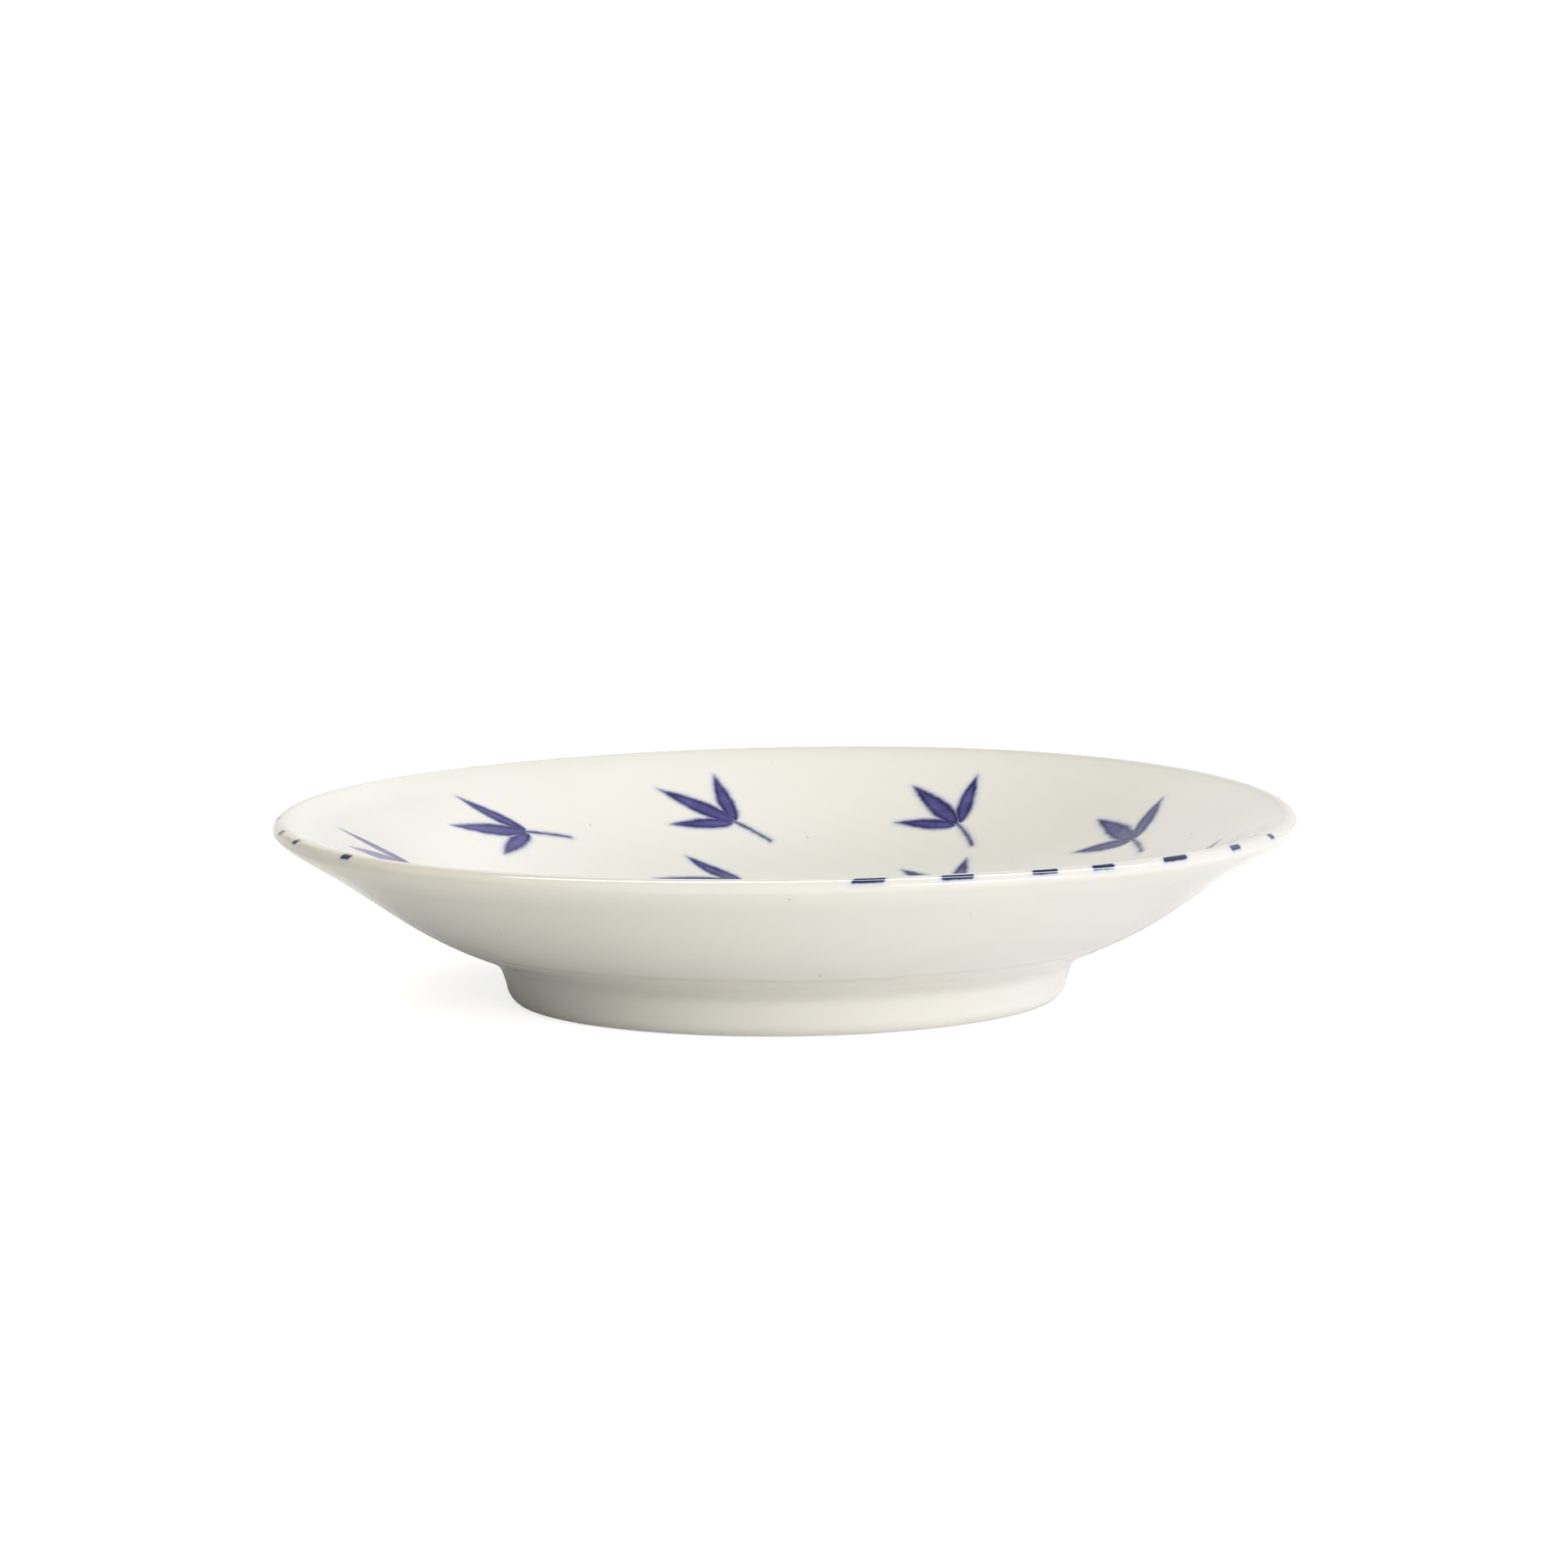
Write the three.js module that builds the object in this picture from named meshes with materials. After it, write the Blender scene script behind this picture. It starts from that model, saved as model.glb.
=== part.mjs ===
// Glazed porcelain plate on a foot ring, in millimetres, +Z up.
// The origin is on the table, under the middle of the plate.
// Every piece is turned about Z. The dish is pressed in one piece, the foot ring is
// luted under it with a film of slip, and two coats of clear glaze cover all but the
// bare edge that the plate stands on.

import * as THREE from "three";

// Sizes of the finished plate, over its glaze
const RIM_DIAMETER = 160;
const HEIGHT = 29;
const LIP_THICKNESS = 3.3;
const CREASE_DIAMETER = 91.6; // where the wall meets the foot
const CREASE_HEIGHT = 7.3; // from the table up to that line
const FOOT_DIAMETER = 86; // across the foot's lower edge, before it is rounded
const RECESS_DEPTH = 5.2; // from the table up to the base, inside the foot

// Thicknesses
const FLOOR_THICKNESS = 4.2; // biscuit under the well
const FOOT_WIDTH = 6.4; // biscuit of the foot at the table, before it is rounded
const GLAZE_THICKNESS = 0.3;
const SLIP_THICKNESS = 0.3;

// Slopes in degrees: of the walls off the table, and of the foot off the upright
const OUTER_LIP_SLOPE = 27.5; // outer wall at the lip
const CREASE_SLOPE = 17.5; // outer wall at the foot
const INNER_LIP_SLOPE = 25; // inner wall at the lip
const FOOT_INNER_LEAN = 8; // inner face of the foot, towards the middle

// How far each end's slope reaches along its wall, as a share of the wall's length
const OUTER_LIP_PULL = 0.4;
const CREASE_PULL = 0.42;
const INNER_LIP_PULL = 0.36;
const WELL_PULL = 0.46;

// Flats and roundings
const WELL_DIAMETER = 44; // flat middle of the well
const FOOT_OUTER_ROUND = 2; // how far back each lower edge of the foot is rounded
const FOOT_INNER_ROUND = 1.4;
const FOOT_HOLLOW = 0.25; // how far the middle of the foot's outer face is drawn in
const CREASE_POOL = 0.6; // how far the glaze that pools in the crease reaches

// Facets
const TURN_STEPS = 60;
const WALL_STEPS = 9;
const LIP_STEPS = 7;
const FACE_STEPS = 3;
const ROUND_STEPS = 4; // even, because the glaze ends halfway round an edge

const BISCUIT = new THREE.MeshStandardMaterial({ color: 0xe9e2d3, roughness: 0.85 });
const SLIP = new THREE.MeshStandardMaterial({ color: 0xe2dac8, roughness: 0.95 });
const GLAZE = new THREE.MeshStandardMaterial({ color: 0xf0ede4, roughness: 0.08 });

// A profile is a row of points (distance from the axis, height). It runs with the
// clay on its left and the air on its right.
const at = (radius, height) => new THREE.Vector2(radius, height);
const radians = THREE.MathUtils.degToRad;

// The direction out from the axis and up at a slope in degrees.
function rising(slope) {
  return at(Math.cos(radians(slope)), Math.sin(radians(slope)));
}

// The point at a share of the way from one point to another.
function between(start, end, share) {
  return start.clone().lerp(end, share);
}

// A wall's curve, which leaves start along one direction and reaches end along another.
function wall(start, startWay, startPull, end, endWay, endPull) {
  const length = start.distanceTo(end);
  const startHandle = start.clone().addScaledVector(startWay, startPull * length);
  const endHandle = end.clone().addScaledVector(endWay, -endPull * length);
  return new THREE.CubicBezierCurve(start, startHandle, endHandle, end).getPoints(WALL_STEPS);
}

// A curve in place of a corner, from reach before it to reach after it, or to halfway
// along the shorter side.
function rounded(before, corner, after, reach) {
  const shorter = Math.min(before.distanceTo(corner), after.distanceTo(corner));
  const back = Math.min(reach, shorter / 2);
  const start = between(corner, before, back / corner.distanceTo(before));
  const end = between(corner, after, back / corner.distanceTo(after));
  return new THREE.QuadraticBezierCurve(start, corner, end).getPoints(ROUND_STEPS);
}

// The same profile moved out into the air by a distance, with mitred corners.
function outside(profile, distance) {
  const normals = profile.slice(1).map((next, i) => {
    const way = next.clone().sub(profile[i]).normalize();
    return at(way.y, -way.x);
  });
  return profile.map((place, i) => {
    const before = normals[Math.max(i - 1, 0)];
    const after = normals[Math.min(i, normals.length - 1)];
    const mitre = before.clone().add(after).normalize();
    return place.clone().addScaledVector(mitre, distance / mitre.dot(before));
  });
}

// Corners of the biscuit: the fired clay under the glaze
const baseHeight = RECESS_DEPTH + GLAZE_THICKNESS;
const floorHeight = baseHeight + FLOOR_THICKNESS;
const crease = at(CREASE_DIAMETER / 2 - GLAZE_THICKNESS, CREASE_HEIGHT);
const footOuter = at(FOOT_DIAMETER / 2 - GLAZE_THICKNESS, 0);
const footInner = at(footOuter.x - FOOT_WIDTH, 0);
const footTop = at(footInner.x - baseHeight * Math.tan(radians(FOOT_INNER_LEAN)), baseHeight);
const seatBend = at((footTop.x + crease.x) / 2, baseHeight);
const baseMiddle = at(0, baseHeight);
const wellMiddle = at(0, floorHeight);
const wellEdge = at(WELL_DIAMETER / 2, floorHeight);

// The foot's seat under the dish, from its inner edge to the crease, and the top of the
// foot ring, one film of slip lower
const seat = [footTop, seatBend, crease];
const ringTop = [
  between(footTop, footInner, SLIP_THICKNESS / footTop.y),
  at(seatBend.x, seatBend.y - SLIP_THICKNESS),
  between(crease, footOuter, SLIP_THICKNESS / crease.y),
];

// The dish's own surface, from the crease out over the lip and in to the well
function lipArc() {
  const radius = LIP_THICKNESS / 2 - GLAZE_THICKNESS;
  const middleRadius = (RIM_DIAMETER - LIP_THICKNESS) / 2;
  const middleHeight = HEIGHT - LIP_THICKNESS / 2;
  const start = radians(OUTER_LIP_SLOPE - 90);
  const end = radians(INNER_LIP_SLOPE + 90);
  const arc = new THREE.EllipseCurve(middleRadius, middleHeight, radius, radius, start, end);
  return arc.getPoints(LIP_STEPS);
}
const lip = lipArc();
const lipStart = lip[0];
const lipEnd = lip[lip.length - 1];
const outerWall = wall(
  crease, rising(CREASE_SLOPE), CREASE_PULL,
  lipStart, rising(OUTER_LIP_SLOPE), OUTER_LIP_PULL,
);
const innerWall = wall(
  lipEnd, rising(INNER_LIP_SLOPE).negate(), INNER_LIP_PULL,
  wellEdge, at(-1, 0), WELL_PULL,
);
const dishSurface = [...outerWall, ...lip.slice(1, -1), ...innerWall, wellMiddle];

function dishProfile() {
  return [baseMiddle, footTop, seatBend, ...dishSurface];
}

// The film of slip that lutes the foot ring to its seat
function slipProfile() {
  return [...ringTop, ...seat.toReversed(), ringTop[0]];
}

// The foot ring stands on the flat between its two rounded lower edges
const innerRound = rounded(ringTop[0], footInner, footOuter, FOOT_INNER_ROUND);
const outerRound = rounded(footInner, footOuter, ringTop[2], FOOT_OUTER_ROUND);

function outerFace() {
  const start = outerRound[ROUND_STEPS];
  const end = ringTop[2];
  const pull = between(start, end, 0.5).sub(at(2 * FOOT_HOLLOW, 0));
  return new THREE.QuadraticBezierCurve(start, pull, end).getPoints(FACE_STEPS);
}
const footFace = outerFace().slice(1, -1);

function ringProfile() {
  return [...innerRound, ...outerRound, ...footFace, ...ringTop.toReversed(), innerRound[0]];
}

// Glaze from halfway round the foot's outer edge up over the lip and across the well,
// thicker where it pools in the crease
function coatProfile() {
  const foot = [...outerRound.slice(ROUND_STEPS / 2), ...footFace];
  const clay = [...foot, ringTop[2], ...dishSurface];
  const air = outside([...foot, ...dishSurface], GLAZE_THICKNESS);
  const [below, corner, above] = air.slice(foot.length - 1);
  air.splice(foot.length, 1, ...rounded(below, corner, above, CREASE_POOL));
  return [...clay.toReversed(), ...air];
}

// Glaze on the base, inside the foot, down to the foot's rounded inner edge
function baseCoatProfile() {
  const clay = [baseMiddle, footTop, ringTop[0], innerRound[0]];
  const air = outside([baseMiddle, footTop, innerRound[0]], GLAZE_THICKNESS);
  return [...air, ...clay.toReversed()];
}

function turned(name, profile, material) {
  const piece = new THREE.Mesh(new THREE.LatheGeometry(profile, TURN_STEPS), material);
  piece.name = name;
  return piece;
}

// Lathe geometry turns about Y, so the wheel that carries the pieces is tipped upright.
const wheel = new THREE.Group();
wheel.rotation.x = Math.PI / 2;
wheel.add(
  turned("dish_body", dishProfile(), BISCUIT),
  turned("luting_slip", slipProfile(), SLIP),
  turned("foot_ring", ringProfile(), BISCUIT),
  turned("glaze_coat", coatProfile(), GLAZE),
  turned("base_glaze", baseCoatProfile(), GLAZE),
);

const plate = new THREE.Group();
plate.add(wheel);

export default plate;
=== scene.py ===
"""Looks of a glazed porcelain plate with blue brushed decoration, built around its solids.

The plate stands on the table at the origin and is turned about Z. Lengths are in metres, and
the ones written in millimetres are multiplied by MM. The shader's own lengths are millimetres.
"""

import math

import bpy
import numpy as np
from mathutils import Matrix, Vector


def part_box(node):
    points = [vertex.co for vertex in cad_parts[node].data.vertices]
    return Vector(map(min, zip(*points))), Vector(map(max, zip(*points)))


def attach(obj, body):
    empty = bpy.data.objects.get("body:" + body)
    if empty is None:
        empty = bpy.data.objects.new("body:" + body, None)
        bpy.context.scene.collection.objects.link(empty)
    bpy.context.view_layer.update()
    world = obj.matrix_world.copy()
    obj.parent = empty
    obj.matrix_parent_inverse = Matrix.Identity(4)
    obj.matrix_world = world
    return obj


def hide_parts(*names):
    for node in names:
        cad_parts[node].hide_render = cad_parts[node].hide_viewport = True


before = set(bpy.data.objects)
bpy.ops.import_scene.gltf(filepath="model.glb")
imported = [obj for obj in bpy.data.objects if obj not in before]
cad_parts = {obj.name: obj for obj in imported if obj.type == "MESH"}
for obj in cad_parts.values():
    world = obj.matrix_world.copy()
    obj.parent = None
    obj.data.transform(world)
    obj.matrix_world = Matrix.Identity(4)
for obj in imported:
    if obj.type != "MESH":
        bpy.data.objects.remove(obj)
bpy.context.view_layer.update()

MM = 0.001

# Sizes read from the solids
RIM_RADIUS, _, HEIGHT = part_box("glaze_coat")[1]
CREASE_RADIUS, _, CREASE_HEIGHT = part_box("luting_slip")[1]
BASE_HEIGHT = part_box("dish_body")[0].z

# Thicknesses, slopes in degrees and roundings, as in the solids
GLAZE = 0.3 * MM
SLIP = 0.3 * MM
LIP = 3.3 * MM
FLOOR = 4.2 * MM
FOOT_RADIUS = 42.7 * MM
FOOT_WIDTH = 6.4 * MM
WELL_RADIUS = 22 * MM
OUTER_LIP_SLOPE = 27.5
CREASE_SLOPE = 17.5
INNER_LIP_SLOPE = 25
FOOT_INNER_LEAN = 8
OUTER_LIP_PULL = 0.4
CREASE_PULL = 0.42
INNER_LIP_PULL = 0.36
WELL_PULL = 0.46
FOOT_OUTER_ROUND = 2 * MM
FOOT_INNER_ROUND = 1.4 * MM
FOOT_HOLLOW = 0.25 * MM

# How far the lip's turn and the glaze in the crease reach, which is softer than in the solids
LIP_WALL_REACH = 4.5 * MM
LIP_EDGE_REACH = 1.1 * MM
CREASE_POOL_DOWN = 2.4 * MM
CREASE_POOL_UP = 5.0 * MM

# The rim's warp from the kiln: waves round the rim, each with its height and the angle of a crest
WARP_WAVES = (
    (2, 0.35 * MM, math.radians(74.8)),
    (3, 0.23 * MM, math.radians(47.1)),
)

# Steps along and round the turned surfaces, what counts as a sharp edge, and as the same point
TURN_STEPS = 320
WALL_STEPS = 48
LIP_STEPS = 28
FACE_STEPS = 12
ROUND_STEPS = 8
POOL_STEPS = 16
FLAT_STEPS = 8
SHARP_ANGLE = math.radians(40)
SAME_POINT = 1e-7

# The texture map: two half turns, one above the other, with little room for hidden sides
HALF_TURN = TURN_STEPS // 2
MAP_MARGIN = 0.004
HIDDEN_ROOM = 0.03


# Profiles: rows of points (distance from the axis, height), with the clay on the left

def at(radius, height):
    return np.array((radius, height))


def rising(slope):
    """The direction out from the axis and up at a slope in degrees."""
    return at(math.cos(math.radians(slope)), math.sin(math.radians(slope)))


def bezier(points, steps):
    """Points on the Bezier curve with these control points."""
    degree = len(points) - 1
    t = np.linspace(0, 1, steps + 1)[:, None]
    return sum(math.comb(degree, i) * (1 - t) ** (degree - i) * t**i * p for i, p in enumerate(points))


def between(start, end, share):
    return start + (end - start) * share


def straight(start, end):
    return bezier((start, end), FLAT_STEPS)


def wall(start, start_way, start_pull, end, end_way, end_pull):
    """A curve that leaves start along one direction and reaches end along another."""
    length = np.linalg.norm(end - start)
    start_handle = start + start_way * start_pull * length
    end_handle = end - end_way * end_pull * length
    return bezier((start, start_handle, end_handle, end), WALL_STEPS)


def rounded(before, corner, after, reach):
    """A curve in place of a corner, from reach before it to reach after it."""
    to_before, to_after = np.linalg.norm(before - corner), np.linalg.norm(after - corner)
    back = min(reach, to_before / 2, to_after / 2)
    start = between(corner, before, back / to_before)
    end = between(corner, after, back / to_after)
    return bezier((start, corner, end), ROUND_STEPS)


def chain(*runs):
    """The runs joined end to end, without the points that repeat."""
    points = np.concatenate([np.atleast_2d(run) for run in runs])
    apart = np.linalg.norm(np.diff(points, axis=0), axis=1) > SAME_POINT
    return points[np.concatenate([[True], apart])]


def outside(profile, distance):
    """The same profile moved out into the air by a distance, with mitred corners."""
    ways = np.diff(profile, axis=0)
    ways /= np.linalg.norm(ways, axis=1, keepdims=True)
    normals = np.stack([ways[:, 1], -ways[:, 0]], axis=1)
    before = np.concatenate([normals[:1], normals])
    after = np.concatenate([normals, normals[-1:]])
    mitre = before + after
    mitre /= np.linalg.norm(mitre, axis=1, keepdims=True)
    return profile + mitre * distance / np.sum(mitre * before, axis=1, keepdims=True)


crease = at(CREASE_RADIUS, CREASE_HEIGHT)
foot_outer = at(FOOT_RADIUS, 0)
foot_inner = at(FOOT_RADIUS - FOOT_WIDTH, 0)
foot_top = at(foot_inner[0] - BASE_HEIGHT * math.tan(math.radians(FOOT_INNER_LEAN)), BASE_HEIGHT)
seat_bend = at((foot_top[0] + crease[0]) / 2, BASE_HEIGHT)
base_middle = at(0, BASE_HEIGHT)
well_middle = at(0, BASE_HEIGHT + FLOOR)
well_edge = at(WELL_RADIUS, BASE_HEIGHT + FLOOR)
ring_top_inner = between(foot_top, foot_inner, SLIP / foot_top[1])
ring_top_bend = seat_bend - at(0, SLIP)
ring_top_outer = between(crease, foot_outer, SLIP / crease[1])
half_lip = LIP / 2 - GLAZE
lip_bend = half_lip * math.tan(math.radians(90 - OUTER_LIP_SLOPE) / 2)
lip_corner = at(RIM_RADIUS - GLAZE, HEIGHT - LIP / 2 - lip_bend)


def outer_wall():
    """The wall's outer face, from the crease to where the lip starts to turn out of it."""
    whole = wall(
        crease, rising(CREASE_SLOPE), CREASE_PULL,
        lip_corner - rising(OUTER_LIP_SLOPE) * lip_bend, rising(OUTER_LIP_SLOPE), OUTER_LIP_PULL,
    )
    return whole[np.linalg.norm(whole - lip_corner, axis=1) > LIP_WALL_REACH]


def lip_arc(start, way):
    """The lip, which turns slowly out of the wall to its edge and then over its crown."""
    edge = lip_corner + at(0, LIP_EDGE_REACH)
    bend = start + way * (edge[0] - start[0]) / way[0]
    under = bezier((start, bend, edge), LIP_STEPS // 2)
    crown_rise = HEIGHT - GLAZE - edge[1]
    slope = math.radians(INNER_LIP_SLOPE)
    past_crown = math.atan2(half_lip * math.sin(slope), crown_rise * math.cos(slope))
    turns = np.linspace(0, math.pi / 2 + past_crown, LIP_STEPS // 2 + 1)
    crown = np.stack([half_lip * np.cos(turns), crown_rise * np.sin(turns)], axis=1)
    return chain(under, edge - at(half_lip, 0) + crown)


def dish_surface():
    """The dish from the crease out over the lip and in to the middle of the well."""
    outer = outer_wall()
    lip = lip_arc(outer[-1], outer[-1] - outer[-2])
    inner = wall(
        lip[-1], -rising(INNER_LIP_SLOPE), INNER_LIP_PULL,
        well_edge, at(-1, 0), WELL_PULL,
    )
    return chain(outer, lip, inner, straight(well_edge, well_middle))


def foot_edges():
    """The foot ring's rounded inner and outer lower edges and its outer face."""
    inner = rounded(ring_top_inner, foot_inner, foot_outer, FOOT_INNER_ROUND)
    outer = rounded(foot_inner, foot_outer, ring_top_outer, FOOT_OUTER_ROUND)
    pull = between(outer[-1], ring_top_outer, 0.5) - at(2 * FOOT_HOLLOW, 0)
    face = bezier((outer[-1], pull, ring_top_outer), FACE_STEPS)
    return inner, outer, face


# Each piece's profile, with the part of it that shows

def dish_profile():
    return chain(straight(base_middle, foot_top), seat_bend, dish_surface()), slice(None)


def slip_profile():
    top = (crease, seat_bend, foot_top)
    return chain(ring_top_inner, ring_top_bend, ring_top_outer, *top, ring_top_inner), slice(None)


def ring_profile():
    inner, outer, face = foot_edges()
    edges = chain(inner, outer)
    return chain(edges, face, ring_top_bend, ring_top_inner, inner[0]), slice(0, len(edges))


def coat_profile():
    """Glaze from halfway round the foot's outer edge, over the lip and across the well."""
    _, outer, face = foot_edges()
    foot = chain(outer[ROUND_STEPS // 2:], face)
    clay = chain(foot, dish_surface())
    air = outside(chain(foot[:-1], dish_surface()), GLAZE)
    corner = len(foot) - 1
    from_corner = along(air) - along(air)[corner]
    pool_start, pool_end = np.searchsorted(from_corner, (-CREASE_POOL_DOWN, CREASE_POOL_UP))
    pool = bezier((air[pool_start], air[corner], air[pool_end]), POOL_STEPS)
    air = chain(air[:pool_start], pool, air[pool_end:])
    return chain(clay[::-1], air), slice(len(clay), None)


def base_coat_profile():
    """Glaze on the base, inside the foot, down to the foot's rounded inner edge."""
    inner, _, _ = foot_edges()
    clay = chain(straight(base_middle, foot_top), ring_top_inner, inner[0])
    air = outside(chain(straight(base_middle, foot_top), inner[0]), GLAZE)
    return chain(air, clay[::-1]), slice(0, len(air) - 1)


# Meshes

def along(profile, weights=1.0):
    """The length of the profile up to each of its points."""
    lengths = np.linalg.norm(np.diff(profile, axis=0), axis=1)
    return np.concatenate([[0], np.cumsum(lengths * weights)])


def warp(points):
    """Lifts points towards the rim by the waves that the kiln left in it."""
    radius = np.hypot(points[:, 0], points[:, 1])
    angle = np.arctan2(points[:, 1], points[:, 0])
    share = np.clip((radius - CREASE_RADIUS) / (RIM_RADIUS - CREASE_RADIUS), 0, 1)
    lift = sum(rise * np.cos(count * (angle - crest)) for count, rise, crest in WARP_WAVES)
    points[:, 2] += share**2 * lift
    return points


def turned_points(profile):
    """The points of the turned profile, and each profile point's row of them round the axis."""
    angles = np.arange(TURN_STEPS) * 2 * math.pi / TURN_STEPS
    points, rows = [], []
    for radius, height in profile:
        steps = 1 if radius < SAME_POINT else TURN_STEPS
        rows.append([len(points) + step % steps for step in range(TURN_STEPS)])
        points.extend((radius * math.cos(a), radius * math.sin(a), height) for a in angles[:steps])
    return warp(np.array(points)), rows


def map_place(step, half, share):
    """A corner's place on the texture map: its step of a half turn, which half, and how far along."""
    inner = 1 - 2 * MAP_MARGIN
    return MAP_MARGIN + inner * step / HALF_TURN, (half + MAP_MARGIN + inner * share) / 2


def turned_faces(rows, shares):
    """The faces between the rows, and the place of each of their corners on the texture map."""
    faces, places = [], []
    for low, high, low_share, high_share in zip(rows, rows[1:], shares, shares[1:]):
        for start in range(TURN_STEPS):
            end = (start + 1) % TURN_STEPS
            half, step = divmod(start, HALF_TURN)
            corners = {
                low[start]: map_place(step, half, low_share),
                low[end]: map_place(step + 1, half, low_share),
                high[end]: map_place(step + 1, half, high_share),
                high[start]: map_place(step, half, high_share),
            }
            faces.append(list(corners))
            places.extend(corners.values())
    return faces, places


def turned(name, profile_and_shown, material, node):
    """A piece turned from a closed profile, or from one that starts and ends on the axis.

    Its points carry their course in millimetres: how far in from the crown they lie along the
    profile, or how far out if it is below 0.
    """
    profile, shown = profile_and_shown
    length = along(profile)
    course = (length - length[np.argmax(profile[:, 1])]) / MM
    weights = np.full(len(profile) - 1, HIDDEN_ROOM)
    weights[shown] = 1
    shares = along(profile, weights)
    closed = np.allclose(profile[0], profile[-1])
    points, rows = turned_points(profile[:-1] if closed else profile)
    if closed:
        rows.append(rows[0])
    faces, places = turned_faces(rows, shares / shares[-1])
    mesh = bpy.data.meshes.new(name)
    mesh.from_pydata(points.tolist(), [], faces)
    point_course = np.zeros(len(points))
    for row, value in zip(rows, course):
        point_course[row] = value
    mesh.attributes.new("course", "FLOAT", "POINT").data.foreach_set("value", point_course)
    mesh.uv_layers.new(name="OFBake").uv.foreach_set("vector", np.array(places).ravel())
    mesh.shade_smooth()
    mesh.set_sharp_from_angle(angle=SHARP_ANGLE)
    mesh.materials.append(material)
    piece = bpy.data.objects.new(name, mesh)
    bpy.context.scene.collection.objects.link(piece)
    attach(piece, "root")
    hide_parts(node)


# Shader nodes

class Nodes:
    """Short ways to add nodes to a node tree. An input is a number, a tuple or a socket."""

    def __init__(self, tree):
        self.tree = tree

    def put(self, socket, value):
        if isinstance(value, bpy.types.NodeSocket):
            self.tree.links.new(value, socket)
        else:
            socket.default_value = value

    def add(self, kind, inputs=(), **settings):
        node = self.tree.nodes.new(kind)
        for name, value in settings.items():
            setattr(node, name, value)
        for key, value in dict(inputs).items():
            self.put(node.inputs[key], value)
        return node

    def math(self, operation, *values):
        inputs = dict(enumerate(values))
        return self.add("ShaderNodeMath", inputs, operation=operation).outputs[0]

    def plus(self, *values):
        total = values[0]
        for value in values[1:]:
            total = self.math("ADD", total, value)
        return total

    def minus(self, first, second):
        return self.math("SUBTRACT", first, second)

    def times(self, *values):
        product = values[0]
        for value in values[1:]:
            product = self.math("MULTIPLY", product, value)
        return product

    def length(self, first, second):
        return self.math("SQRT", self.plus(self.times(first, first), self.times(second, second)))

    def fade(self, value, start, end, low=0.0, high=1.0):
        """low where value is at start, high where it is at end, smooth between them."""
        inputs = {"Value": value, "From Min": start, "From Max": end, "To Min": low, "To Max": high}
        node = self.add("ShaderNodeMapRange", inputs, interpolation_type="SMOOTHSTEP")
        return node.outputs["Result"]

    def mix(self, share, first, second):
        node = self.add("ShaderNodeMix", data_type="RGBA")
        for key, value in (("Factor_Float", share), ("A_Color", first), ("B_Color", second)):
            self.put(next(s for s in node.inputs if s.identifier == key), value)
        return next(s for s in node.outputs if s.identifier == "Result_Color")

    def noise(self, place, scale, detail=2.0, roughness=0.5):
        inputs = {"Vector": place, "Scale": scale, "Detail": detail, "Roughness": roughness}
        return self.add("ShaderNodeTexNoise", inputs).outputs["Fac"]

    def noise_along(self, value, scale, detail=2.0):
        inputs = {"W": value, "Scale": scale, "Detail": detail}
        return self.add("ShaderNodeTexNoise", inputs, noise_dimensions="1D").outputs["Fac"]

    def chance(self, number):
        """A random value from 0 to 1 for each whole number."""
        node = self.add("ShaderNodeTexWhiteNoise", {"W": number}, noise_dimensions="1D")
        return node.outputs["Value"]

    def shift(self, place, x, y):
        offset = (-x, -y, 0)
        return self.add("ShaderNodeVectorMath", {0: place, 1: offset}, operation="ADD").outputs[0]

    def turn_back(self, place, angle):
        """The place as seen from a frame that is turned about Z by an angle."""
        inputs = {"Vector": place, "Angle": self.times(angle, -1)}
        return self.add("ShaderNodeVectorRotate", inputs, rotation_type="Z_AXIS").outputs[0]

    def split(self, place):
        return self.add("ShaderNodeSeparateXYZ", {0: place}).outputs

    def place(self):
        """The place on the plate, in millimetres."""
        place = self.add("ShaderNodeTexCoord").outputs["Object"]
        scaled = self.add("ShaderNodeVectorMath", {0: place, "Scale": 1 / MM}, operation="SCALE")
        return scaled.outputs[0]

    def bump(self, height):
        """A normal for a height in millimetres."""
        return self.add("ShaderNodeBump", {"Height": height, "Distance": MM}).outputs["Normal"]


def colour(red, green, blue):
    """A linear colour from the sRGB values 0 to 255."""
    def linear(value):
        share = value / 255
        return share / 12.92 if share <= 0.04045 else ((share + 0.055) / 1.055) ** 2.4
    return (linear(red), linear(green), linear(blue), 1.0)


def new_material(name):
    material = bpy.data.materials.new(name)
    material.use_nodes = True
    tree = material.node_tree
    return material, Nodes(tree), tree.nodes["Principled BSDF"].inputs


WHITE = colour(255, 255, 255)


# The span in which most values of a noise lie
NOISE_SPAN = 0.3, 0.7


# Bare clay: two tones of each, and the sizes of their stains and grains as waves per millimetre

BISCUIT_TONES = colour(222, 211, 190), colour(205, 189, 162)
SLIP_TONES = colour(214, 204, 184), colour(196, 182, 156)
STAIN_SCALE = 0.12
STAIN_SPAN = 0.35, 0.7
BISCUIT_GRAIN_SCALE = 6.0
BISCUIT_GRAIN_HEIGHT = 0.02
BISCUIT_ROUGHNESS = 0.75, 0.95
SLIP_GRAIN_SCALE = 2.5
SLIP_GRAIN_HEIGHT = 0.05
SLIP_ROUGHNESS = 0.85, 1.0


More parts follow.
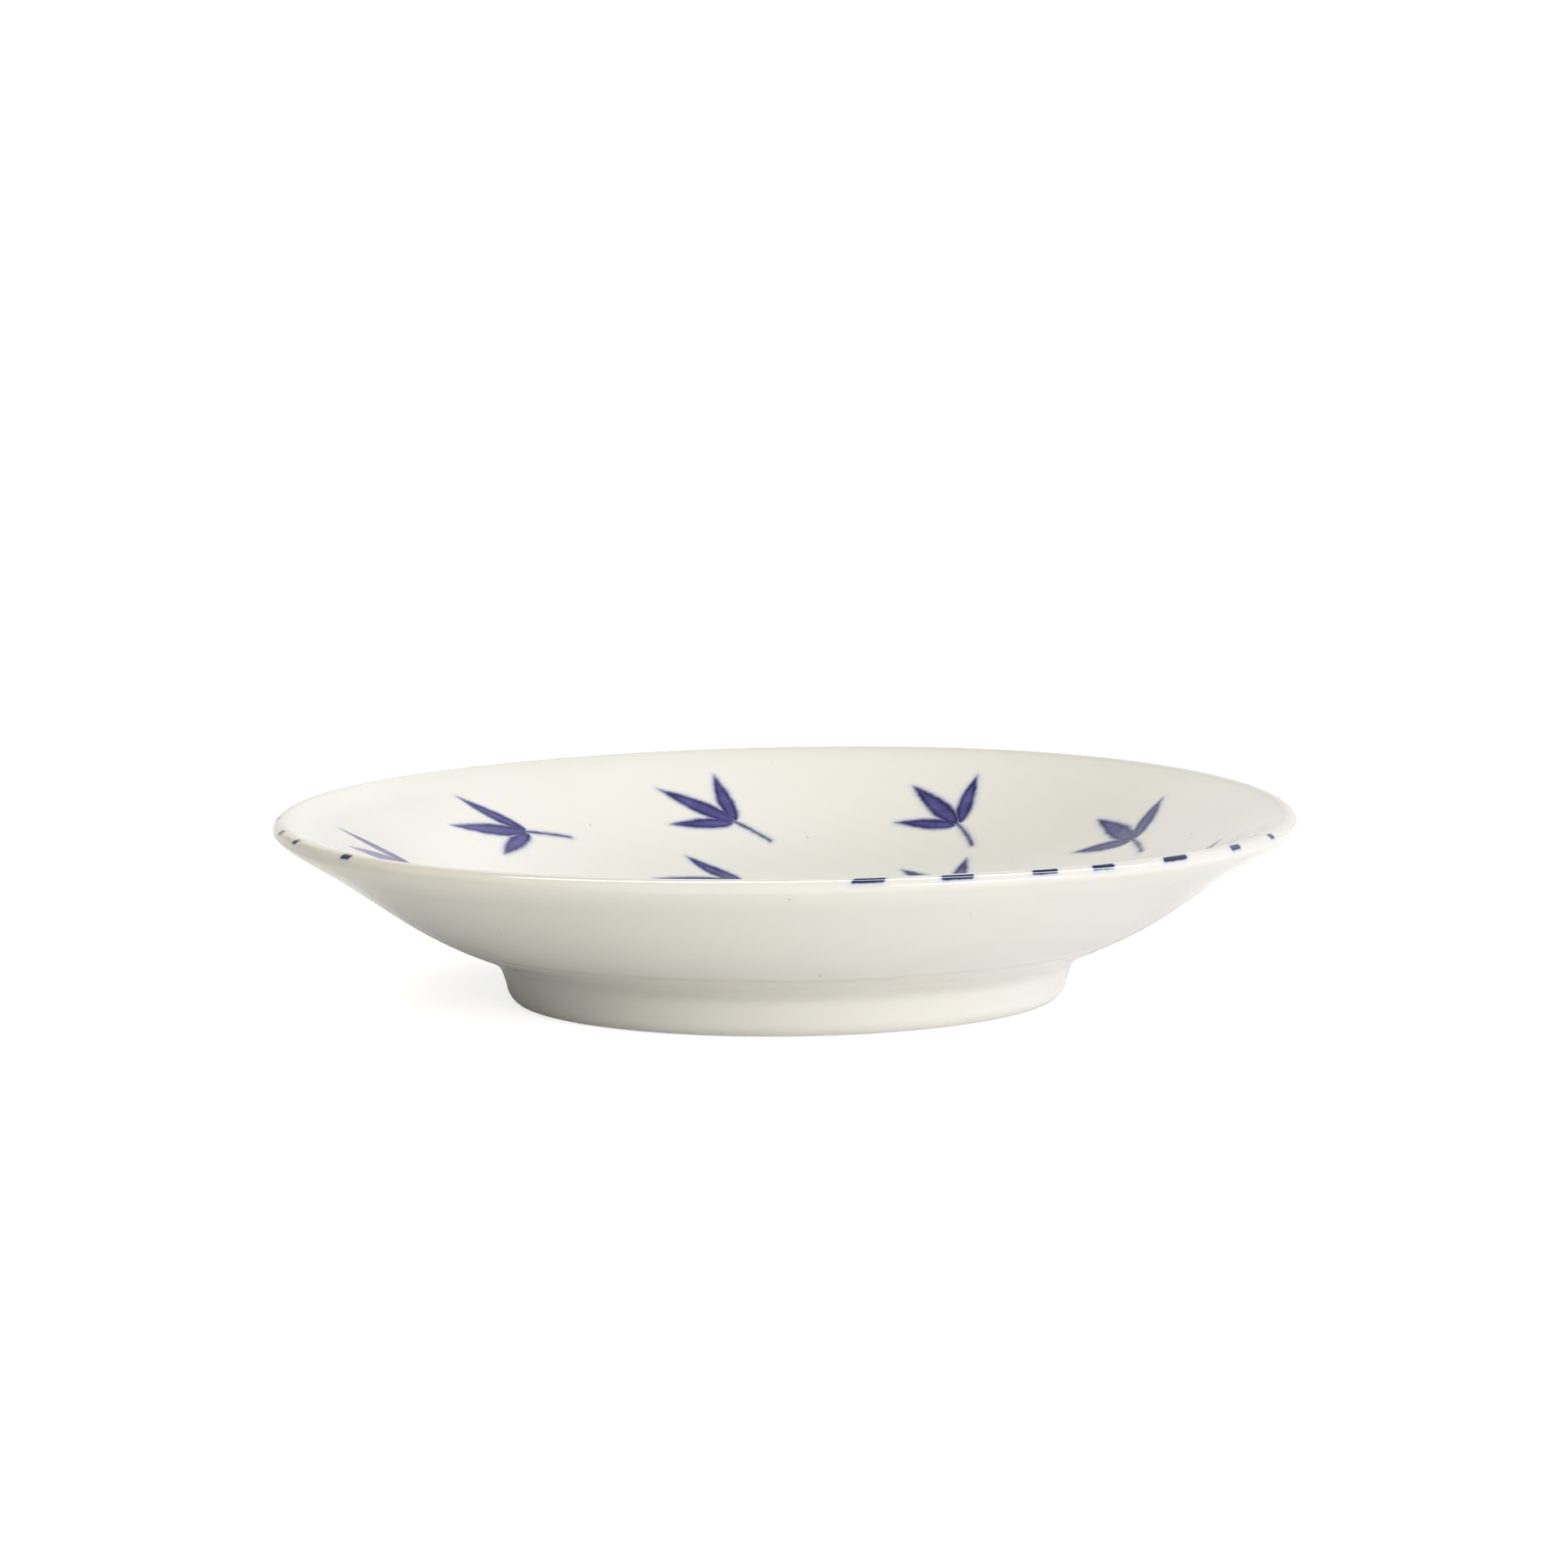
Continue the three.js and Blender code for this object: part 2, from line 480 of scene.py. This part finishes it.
def biscuit_material():
    """Bare fired porcelain: matt, slightly warm, with a fine grain."""
    material, nodes, shader = new_material("biscuit")
    place = nodes.place()
    stain = nodes.fade(nodes.noise(place, STAIN_SCALE, 3.0), *STAIN_SPAN)
    grain = nodes.noise(place, BISCUIT_GRAIN_SCALE, 4.0, 0.7)
    nodes.put(shader["Base Color"], nodes.mix(stain, *BISCUIT_TONES))
    nodes.put(shader["Roughness"], nodes.fade(grain, *NOISE_SPAN, *BISCUIT_ROUGHNESS))
    nodes.put(shader["Normal"], nodes.bump(nodes.times(grain, BISCUIT_GRAIN_HEIGHT)))
    return material


def slip_material():
    """The joint's dried slip: coarser and a little darker than the biscuit."""
    material, nodes, shader = new_material("slip")
    grain = nodes.noise(nodes.place(), SLIP_GRAIN_SCALE, 4.0, 0.7)
    nodes.put(shader["Base Color"], nodes.mix(grain, *SLIP_TONES))
    nodes.put(shader["Roughness"], nodes.fade(grain, *NOISE_SPAN, *SLIP_ROUGHNESS))
    nodes.put(shader["Normal"], nodes.bump(nodes.times(grain, SLIP_GRAIN_HEIGHT)))
    return material


# Decoration under the glaze, in millimetres

# Dashes along the lip, just outside its crown, and the draws of chance that vary them
DASH_COUNT = 30
DASH_PITCH = math.radians(10.12)
FIRST_DASH = math.radians(-81.52)
DASH_LENGTH = 4.6
DASH_WIDTH = 1.15
DASH_COURSE = -1.0
DASH_CORNER = 0.4
DASH_JOG = 3.6
DASH_SLANT = 0.6
DASH_LENGTH_SPREAD = 0.9
DASH_SEED = 37930.0
SLANT_DRAW = 0.37
LENGTH_DRAW = 0.71
LAST_DASH_JOG = 2.8
SHORT_DASHES_FROM = 5
SHORT_DASH_LESS = 1.15
BARE_AFTER = 6
BARE_COUNT = 2

# Rings of leaf sprigs inside: how many, how far from the axis, and turned by what share of a step
SPRIG_RINGS = ((10, 62, 0.3), (7, 42, 0.55))
SPRIG_LEAN = math.radians(62)
SPRIG_SWAY = math.radians(16)

# A sprig's leaves: direction off its stem, length, width and bend to one side. The sprig starts
# behind its place on the ring, and each leaf swells to its width at a share of its length.
LEAVES = (
    (math.radians(-34), 11.5, 2.7, -1.1),
    (math.radians(2), 14.0, 3.1, 0.9),
    (math.radians(36), 10.5, 2.6, 1.2),
)
SPRIG_BACK = LEAVES[1][1] / 3
LEAF_ROOT = 0.8
LEAF_FULLNESS = 0.6
LEAF_SWELL = 1.44
STEM_END = 2.4
STEM_LENGTH = 6.5
STEM_HALF_WIDTH = 0.3
STEM_CURVE = 0.02
TONE_DRAW = 0.5

# The brush: how much its edge wobbles, how far its wash spreads and where its edges fade
WOBBLE = 0.5
WOBBLE_SCALE = 0.7
DASH_WOBBLE_SHARE = 0.6
LEAF_WASH = 1.3
DASH_WASH = 1.1
LEAF_EDGE = 0.5, -0.45
DASH_EDGE = 0.22, -0.22
LEAF_TONE_SPREAD = 0.3
LEAF_MIDDLE = -0.35, -1.1
LEAF_MIDDLE_PALE = 0.45

# A distance at which no mark shows
FAR = 100.0


def dash_distance(nodes, angle, course):
    """How far each place lies outside the dashes along the lip."""
    turn = nodes.math("WRAP", nodes.minus(angle, FIRST_DASH - DASH_PITCH / 2), 2 * math.pi, 0.0)
    index = nodes.math("FLOOR", nodes.times(turn, 1 / DASH_PITCH))
    number = nodes.plus(index, DASH_SEED)
    swing = nodes.minus(nodes.times(nodes.chance(number), 2), 1)
    jog = nodes.times(swing, swing, swing, DASH_JOG)
    slant = nodes.times(nodes.chance(nodes.plus(number, SLANT_DRAW)), DASH_SLANT)
    stretch = nodes.minus(nodes.chance(nodes.plus(number, LENGTH_DRAW)), 0.5)
    longer = nodes.times(stretch, DASH_LENGTH_SPREAD)
    short = nodes.math("GREATER_THAN", index, SHORT_DASHES_FROM - 0.5)
    longer = nodes.minus(longer, nodes.times(short, SHORT_DASH_LESS))
    last = nodes.math("GREATER_THAN", index, DASH_COUNT - 1.5)
    jog = nodes.plus(jog, nodes.times(last, LAST_DASH_JOG))
    across = nodes.minus(course, DASH_COURSE)
    middle = nodes.times(nodes.plus(index, 0.5), DASH_PITCH)
    arc = nodes.times(nodes.minus(turn, middle), (RIM_RADIUS - LIP / 2) / MM)
    ahead = nodes.minus(nodes.minus(arc, jog), nodes.times(across, slant))
    past_end = nodes.minus(nodes.math("ABSOLUTE", ahead), nodes.plus(longer, DASH_LENGTH / 2))
    past_side = nodes.minus(nodes.math("ABSOLUTE", across), DASH_WIDTH / 2)
    x = nodes.math("MAXIMUM", nodes.plus(past_end, DASH_CORNER), 0.0)
    y = nodes.math("MAXIMUM", nodes.plus(past_side, DASH_CORNER), 0.0)
    beyond_last = nodes.math("GREATER_THAN", index, DASH_COUNT - 0.5)
    left_out = nodes.math("COMPARE", index, BARE_AFTER + (BARE_COUNT + 1) / 2, BARE_COUNT / 2)
    bare = nodes.times(nodes.math("MAXIMUM", beyond_last, left_out), FAR)
    return nodes.plus(nodes.minus(nodes.length(x, y), DASH_CORNER), bare)


def leaf_distance(nodes, place, way, length, width, bend):
    """How far each place lies outside a leaf that starts at the origin and runs along a direction."""
    x, y, _ = nodes.split(nodes.turn_back(place, way))
    x = nodes.minus(x, LEAF_ROOT)
    share = nodes.math("MINIMUM", nodes.math("MAXIMUM", nodes.times(x, 1 / length), 0.0), 1.0)
    beyond = nodes.minus(x, nodes.times(share, length))
    aside = nodes.minus(y, nodes.times(share, share, bend))
    swell = nodes.times(nodes.math("POWER", share, LEAF_FULLNESS), nodes.minus(1.0, share))
    return nodes.minus(nodes.length(beyond, aside), nodes.times(swell, LEAF_SWELL * width))


def stem_distance(nodes, place):
    """How far each place lies outside a sprig's curved stem."""
    x, y, _ = nodes.split(place)
    back = nodes.math("MINIMUM", nodes.math("MAXIMUM", x, -STEM_LENGTH), STEM_END)
    curve = nodes.times(back, back, STEM_CURVE)
    return nodes.minus(nodes.length(nodes.minus(x, back), nodes.minus(y, curve)), STEM_HALF_WIDTH)


def sprig_distance(nodes, place, angle, count, radius, turn):
    """How far each place lies outside a ring of sprigs, and a random tone for each sprig."""
    step = 2 * math.pi / count
    cell = nodes.math("FLOOR", nodes.minus(nodes.times(angle, 1 / step), turn))
    number = nodes.plus(nodes.math("FLOORED_MODULO", cell, float(count)), radius)
    middle = nodes.times(nodes.plus(cell, turn + 0.5), step)
    sway = nodes.times(nodes.minus(nodes.chance(number), 0.5), 2 * SPRIG_SWAY)
    own = nodes.shift(nodes.turn_back(place, middle), radius, 0)
    own = nodes.turn_back(own, nodes.plus(SPRIG_LEAN, sway))
    own = nodes.shift(own, -SPRIG_BACK, 0)
    distance = stem_distance(nodes, own)
    for leaf in LEAVES:
        distance = nodes.math("MINIMUM", distance, leaf_distance(nodes, own, *leaf))
    return distance, nodes.chance(nodes.plus(number, TONE_DRAW))


def decoration(nodes, place, angle, course):
    """The shares of blue wash, leaf blue and dash blue at each place, and how pale a leaf is."""
    wobble = nodes.times(nodes.minus(nodes.noise(place, WOBBLE_SCALE), 0.5), WOBBLE)
    outer, outer_tone = sprig_distance(nodes, place, angle, *SPRIG_RINGS[0])
    inner, inner_tone = sprig_distance(nodes, place, angle, *SPRIG_RINGS[1])
    is_inner = nodes.math("LESS_THAN", inner, outer)
    tone = nodes.plus(outer_tone, nodes.times(is_inner, nodes.minus(inner_tone, outer_tone)))
    outside_face = nodes.times(nodes.math("LESS_THAN", course, 0.0), FAR)
    leaf = nodes.plus(nodes.math("MINIMUM", outer, inner), wobble, outside_face)
    dash = nodes.plus(dash_distance(nodes, angle, course), nodes.times(wobble, DASH_WOBBLE_SHARE))
    wash = nodes.math("MAXIMUM", nodes.fade(leaf, LEAF_WASH, 0.0), nodes.fade(dash, DASH_WASH, 0.0))
    middle = nodes.fade(leaf, *LEAF_MIDDLE, 0.0, LEAF_MIDDLE_PALE)
    pale = nodes.plus(nodes.times(tone, LEAF_TONE_SPREAD), middle)
    return wash, nodes.fade(leaf, *LEAF_EDGE), nodes.fade(dash, *DASH_EDGE), pale


# Glaze

# The white under the glaze by place, the painted shades over it, and how strongly some of them show
OUTER_WHITE = colour(238, 235, 228)
INNER_WHITE = colour(242, 240, 234)
WELL_WHITE = colour(228, 234, 222)
# Painted shade: a darker white just inside the crown on the far left
LEFT_EDGE_SHADE = colour(231, 228, 221)
# Painted shade on the lip, stronger towards the right where the lamps light it most
LIP_PAINTED_SHADE = colour(216, 214, 208)
# Painted warm shade: a warmer, darker white on the lip's front left, the side away from the lamps
LIP_WARM_SHADE = colour(236, 226, 200)
WELL_SHARE = 0.35
LIP_SHADE_SHARES = 0.05, 0.65
WARM_SHADE_SHARE = 0.4

# Where these whites and painted shades come in, in millimetres of course or from left to right
CLOUD_SCALE = 0.03
CLOUD = -0.2, 0.2
INSIDE_COURSE = 0.0, 6.0
WELL_COURSE = 20.0, 50.0
LEFT_SHADE_COURSE = 1.0, 8.0
LEFT_SHADE_SIDE = -48.0, -66.0
LIP_FROM_WALL = -5.0, -1.5
LIP_FROM_INSIDE = 2.0, 0.0
LIP_SHADE_SIDE = -50.0, 60.0
WARM_SHADE_MIDDLE = math.radians(-155)
WARM_SHADE_SPREAD = 0.6, 1.0

# The blues, from thick to thin pigment
WASH_BLUE = colour(196, 203, 230)
WASH_SHARE = 0.45
LEAF_BLUES = colour(30, 28, 88), colour(100, 96, 152)
LEAF_POOL = 0.4
LEAF_POOL_SCALE = 0.3
DASH_BLUES = colour(22, 28, 52), colour(50, 63, 104)
DASH_POOL_SCALE = 0.5

# Marks of making, and the painted shade along the turning line's groove
TURNING_RADIUS = 54.1
TURNING_WIDTH = 1.1
TURNING_RAGGED = 1.6
TURNING_RAGGED_SCALE = 0.06
TURNING_STRENGTH = 0.5, 1.0
TURNING_STRENGTH_SCALE = 0.12
# Painted shade: the grey laid along the turning line's groove
TURNING_SHADE = colour(150, 146, 134)
TURNING_SHADE_SHARE = 0.15
TURNING_DEPTH = 0.04
SPECK_SPACING = 7.0
SPECK_EDGE = 0.22, 0.1
SPECK_BROWN = colour(112, 100, 84)
SPECK_SHARE = 0.6
SPECK_DEPTH = 0.08
GLOSS = 0.05, 0.1
GLOSS_SCALE = 0.06
RIPPLE_HEIGHT = 0.006
RIPPLE_SCALE = 0.16
RING_HEIGHT = 0.005
RING_SCALE = 0.25


def turning_line(nodes, place, radius, course):
    """The fine line on the outer wall where the turning of the foot ended, for its groove and the
    painted shade along it.
    """
    wander = nodes.minus(nodes.noise(place, TURNING_RAGGED_SCALE, 3.0), 0.5)
    middle = nodes.minus(radius, TURNING_RADIUS)
    across = nodes.math("ABSOLUTE", nodes.plus(middle, nodes.times(wander, TURNING_RAGGED)))
    line = nodes.fade(across, TURNING_WIDTH, 0.0)
    patches = nodes.noise(place, TURNING_STRENGTH_SCALE)
    strength = nodes.fade(patches, *NOISE_SPAN, *TURNING_STRENGTH)
    return nodes.times(line, strength, nodes.math("LESS_THAN", course, 0.0))


def specks(nodes, place):
    """A few pinholes and iron specks, a fraction of a millimetre across."""
    inputs = {"Vector": place, "Scale": 1 / SPECK_SPACING}
    distance = nodes.add("ShaderNodeTexVoronoi", inputs).outputs["Distance"]
    return nodes.fade(nodes.times(distance, SPECK_SPACING), *SPECK_EDGE)


def porcelain_white(nodes, place, x, angle, course):
    """The white under the glaze: warm outside, cleaner inside, tinted in the well, and painted with
    shade at the far left inside edge and on the lip.
    """
    cloud = nodes.fade(nodes.noise(place, CLOUD_SCALE), *NOISE_SPAN, *CLOUD)
    inside = nodes.plus(cloud, nodes.fade(course, *INSIDE_COURSE))
    white = nodes.mix(inside, OUTER_WHITE, INNER_WHITE)
    deep = nodes.times(nodes.fade(course, *WELL_COURSE), WELL_SHARE)
    white = nodes.mix(deep, white, WELL_WHITE)
    # Painted shade darkens the inside just below the crown on the far left
    left = nodes.times(nodes.fade(x, *LEFT_SHADE_SIDE), nodes.fade(course, *LEFT_SHADE_COURSE))
    white = nodes.mix(left, white, LEFT_EDGE_SHADE)
    on_lip = nodes.times(nodes.fade(course, *LIP_FROM_WALL), nodes.fade(course, *LIP_FROM_INSIDE))
    # Painted shade: the lip's white is darkened more towards the right
    lip_shade = nodes.times(on_lip, nodes.fade(x, *LIP_SHADE_SIDE, *LIP_SHADE_SHARES))
    white = nodes.mix(lip_shade, white, LIP_PAINTED_SHADE)
    # Painted warm shade on the lip, strongest at its front left, away from the lamps
    facing = nodes.math("COSINE", nodes.minus(angle, WARM_SHADE_MIDDLE))
    warm_shade = nodes.times(on_lip, nodes.fade(facing, *WARM_SHADE_SPREAD, 0.0, WARM_SHADE_SHARE))
    return nodes.mix(warm_shade, white, LIP_WARM_SHADE)


def glaze_material():
    """Clear gloss glaze over warm white porcelain and its blue decoration."""
    material, nodes, shader = new_material("glaze")
    place = nodes.place()
    course = nodes.add("ShaderNodeAttribute", attribute_name="course").outputs["Fac"]
    x, y, _ = nodes.split(place)
    angle, radius = nodes.math("ARCTAN2", y, x), nodes.length(x, y)

    wash, leaf, dash, pale = decoration(nodes, place, angle, course)
    white = porcelain_white(nodes, place, x, angle, course)
    white = nodes.mix(nodes.times(wash, WASH_SHARE), white, WASH_BLUE)
    pool = nodes.fade(nodes.noise(place, LEAF_POOL_SCALE), *NOISE_SPAN, 0.0, LEAF_POOL)
    leaf_blue = nodes.mix(nodes.plus(pool, pale), *LEAF_BLUES)
    dash_blue = nodes.mix(nodes.noise(place, DASH_POOL_SCALE), *DASH_BLUES)
    painted = nodes.mix(dash, nodes.mix(leaf, white, leaf_blue), dash_blue)
    line = turning_line(nodes, place, radius, course)
    # Painted shade along the turning line, beside its groove in the bump
    painted = nodes.mix(nodes.times(line, TURNING_SHADE_SHARE), painted, TURNING_SHADE)
    speck = specks(nodes, place)
    painted = nodes.mix(nodes.times(speck, SPECK_SHARE), painted, SPECK_BROWN)
    nodes.put(shader["Base Color"], painted)

    smear = nodes.noise(place, GLOSS_SCALE, 3.0)
    nodes.put(shader["Roughness"], nodes.fade(smear, *NOISE_SPAN, *GLOSS))
    ripple = nodes.times(nodes.noise(place, RIPPLE_SCALE, 1.0), RIPPLE_HEIGHT)
    rings = nodes.times(nodes.noise_along(course, RING_SCALE, 1.0), RING_HEIGHT)
    pits = nodes.plus(nodes.times(speck, -SPECK_DEPTH), nodes.times(line, -TURNING_DEPTH))
    nodes.put(shader["Normal"], nodes.bump(nodes.plus(ripple, rings, pits)))
    return material


def make_plate():
    biscuit, slip, glaze = biscuit_material(), slip_material(), glaze_material()
    turned("dish", dish_profile(), biscuit, "dish_body")
    turned("slip_film", slip_profile(), slip, "luting_slip")
    turned("foot", ring_profile(), biscuit, "foot_ring")
    turned("glaze", coat_profile(), glaze, "glaze_coat")
    turned("glaze_under", base_coat_profile(), glaze, "base_glaze")


# Stage, camera and light

# The camera, fitted to the photograph's frame
PHOTO_SIZE = 1932
FOCAL_PIXELS = 10344
ORIGIN_PIXEL = (969.6, 1225.1)
CAMERA_DISTANCE = 1.315
CAMERA_ELEVATION = math.radians(8.907)
CAMERA_ROLL = math.radians(0.57)
SENSOR_WIDTH = 36
LAMP_DISTANCE = 1.6

# The table, how far from the plate it starts and ends to glow, and how strongly it is shown there
TABLE_SIZE = 30.0
TABLE_GAP = 0.02 * MM
TABLE_WHITE = (0.85, 0.85, 0.85, 1)
GLOW_START = 0.15
GLOW_END = 1.0
GLOW_SHOWN = 0.75

# How strongly the glaze mirrors the table near the plate, from left to right, beside and behind it
GLOW_BESIDE = 0.05, 0.31
GLOW_BEHIND = 0.17, 0.36
BESIDE_TO_BEHIND = -0.25 * RIM_RADIUS, 0.75 * RIM_RADIUS

# The sweep and the ceiling, by the height of the direction in which they lie
FILL = (0.012, 0.012, 0.01, 1)
SWEEP_HEIGHT = 0.45
SWEEP_MIRRORED = 0.92
CEILING_HEIGHT = 0.8

# The dimmer sides of the mirrored sweep: to the right in front and to the left behind
SWEEP_DIMMED = 0.6
DIM_HEIGHT = 0.1, 0.25
RIGHT = 0.0, 0.2
IN_FRONT = 0.5, 0.1
LEFT = -0.22, -0.4
AT_THE_BACK = 0.1, 0.5


def make_camera():
    """A camera that sees the origin at ORIGIN_PIXEL of the photograph's frame."""
    data = bpy.data.cameras.new("camera")
    data.sensor_width = SENSOR_WIDTH
    data.lens = data.sensor_width * FOCAL_PIXELS / PHOTO_SIZE
    camera = bpy.data.objects.new("camera", data)
    bpy.context.scene.collection.objects.link(camera)
    back = Vector((0, -math.cos(CAMERA_ELEVATION), math.sin(CAMERA_ELEVATION)))
    facing_origin = (-back).to_track_quat("-Z", "Y").to_matrix() @ Matrix.Rotation(-CAMERA_ROLL, 3, "Z")
    across, down = (pixel - PHOTO_SIZE / 2 for pixel in ORIGIN_PIXEL)
    seen_at = Vector((across, -down, -FOCAL_PIXELS))
    aim = seen_at.rotation_difference(Vector((0, 0, -1))).to_matrix()
    camera.matrix_world = Matrix.Translation(back * CAMERA_DISTANCE) @ (facing_origin @ aim).to_4x4()
    bpy.context.scene.camera = camera


def rays(nodes):
    """1 for the rays that show a surface to the camera directly, and for the ones that mirror it."""
    path = nodes.add("ShaderNodeLightPath").outputs
    mirrored = nodes.math("MAXIMUM", path["Is Glossy Ray"], path["Is Transmission Ray"])
    return path["Is Camera Ray"], mirrored


def make_table():
    """A white table that keeps the plate's shadow and glows to pure white further off."""
    mesh = bpy.data.meshes.new("table")
    half = TABLE_SIZE / 2
    corners = ((-half, -half), (half, -half), (half, half), (-half, half))
    mesh.from_pydata([(x, y, -TABLE_GAP) for x, y in corners], [], [(0, 1, 2, 3)])
    table = bpy.data.objects.new("table", mesh)
    bpy.context.scene.collection.objects.link(table)
    material, nodes, shader = new_material("table")
    shader["Base Color"].default_value = TABLE_WHITE
    shader["Roughness"].default_value = 0.9
    shader["Specular IOR Level"].default_value = 0.0
    shader["Emission Color"].default_value = WHITE
    x, y, _ = nodes.split(nodes.add("ShaderNodeTexCoord").outputs["Object"])
    distance = nodes.length(x, y)
    shown, mirrored = rays(nodes)
    shown = nodes.times(shown, nodes.fade(distance, GLOW_START, GLOW_END, GLOW_SHOWN, 1.0))
    beside = nodes.fade(x, -RIM_RADIUS, RIM_RADIUS, *GLOW_BESIDE)
    behind = nodes.fade(x, -RIM_RADIUS, RIM_RADIUS, *GLOW_BEHIND)
    around = nodes.fade(y, *BESIDE_TO_BEHIND, beside, behind)
    mirrored = nodes.times(mirrored, nodes.fade(distance, GLOW_START, GLOW_END, around, 1.0))
    nodes.put(shader["Emission Strength"], nodes.plus(shown, mirrored))
    mesh.materials.append(material)


def make_lamp(name, start, end, height, power, tint, mirrored):
    """A soft box between two directions from the plate, which lights it or shows in its glaze."""
    ends = [Vector(way).normalized() * LAMP_DISTANCE for way in (start, end)]
    middle, across = (ends[0] + ends[1]) / 2, ends[1] - ends[0]
    data = bpy.data.lights.new(name, "AREA")
    data.shape = "RECTANGLE"
    data.size = across.length
    data.size_y = height
    data.energy = power
    data.color = tint
    lamp = bpy.data.objects.new(name, data)
    lamp.visible_camera = False
    lamp.visible_glossy = mirrored
    lamp.visible_diffuse = not mirrored
    bpy.context.scene.collection.objects.link(lamp)
    x, z = across.normalized(), middle.normalized()
    facing = Matrix((x, z.cross(x), z)).transposed()
    lamp.matrix_world = Matrix.Translation(middle) @ facing.to_4x4()


def bearing(azimuth, elevation):
    """A direction by its degrees from the camera's side to the right, and up from the table."""
    a, e = math.radians(azimuth), math.radians(elevation)
    return math.sin(a) * math.cos(e), -math.cos(a) * math.cos(e), math.sin(e)


def make_world():
    """Even fill light, which shows as a white sweep under a dim ceiling."""
    world = bpy.data.worlds.new("studio")
    world.use_nodes = True
    nodes = Nodes(world.node_tree)
    background = world.node_tree.nodes["Background"].inputs
    x, y, height = nodes.split(nodes.add("ShaderNodeTexCoord").outputs["Generated"])
    shown, mirrored = rays(nodes)
    right_front = nodes.times(nodes.fade(x, *RIGHT), nodes.fade(y, *IN_FRONT))
    left_back = nodes.times(nodes.fade(x, *LEFT), nodes.fade(y, *AT_THE_BACK))
    dim_sides = nodes.plus(right_front, left_back)
    dimmed = nodes.times(dim_sides, nodes.fade(height, *DIM_HEIGHT), SWEEP_DIMMED)
    white = nodes.plus(shown, nodes.times(mirrored, nodes.minus(SWEEP_MIRRORED, dimmed)))
    sweep = nodes.times(white, nodes.fade(height, CEILING_HEIGHT, SWEEP_HEIGHT))
    nodes.put(background["Color"], nodes.mix(sweep, FILL, WHITE))
    bpy.context.scene.world = world


make_plate()
make_camera()
make_table()
make_lamp(
    "front_box", bearing(2, 10), bearing(48, 10),
    height=0.5, power=13, tint=(0.997, 0.996, 0.955), mirrored=False,
)
make_lamp(
    "high_box", bearing(0, 40), bearing(40, 40),
    height=0.4, power=4.3, tint=(1, 0.99, 0.99), mirrored=False,
)
make_lamp(
    "side_box", bearing(80, 18), bearing(120, 18),
    height=0.8, power=9.2, tint=(0.97, 0.995, 1.15), mirrored=False,
)
make_lamp(
    "top_box", (-1.05, 0.1, 1), (0.45, 0.1, 1),
    height=0.9, power=13.8, tint=(0.997, 0.986, 0.915), mirrored=False,
)
make_lamp(
    "front_strip", bearing(24, 13), bearing(63, 13),
    height=0.14, power=9, tint=(1, 1, 1), mirrored=True,
)
make_lamp(
    "top_strip", (-0.62, 0.22, 1), (1.5, 0.22, 1),
    height=0.14, power=19, tint=(1, 1, 1), mirrored=True,
)
make_world()
bpy.context.scene.view_settings.view_transform = "Standard"
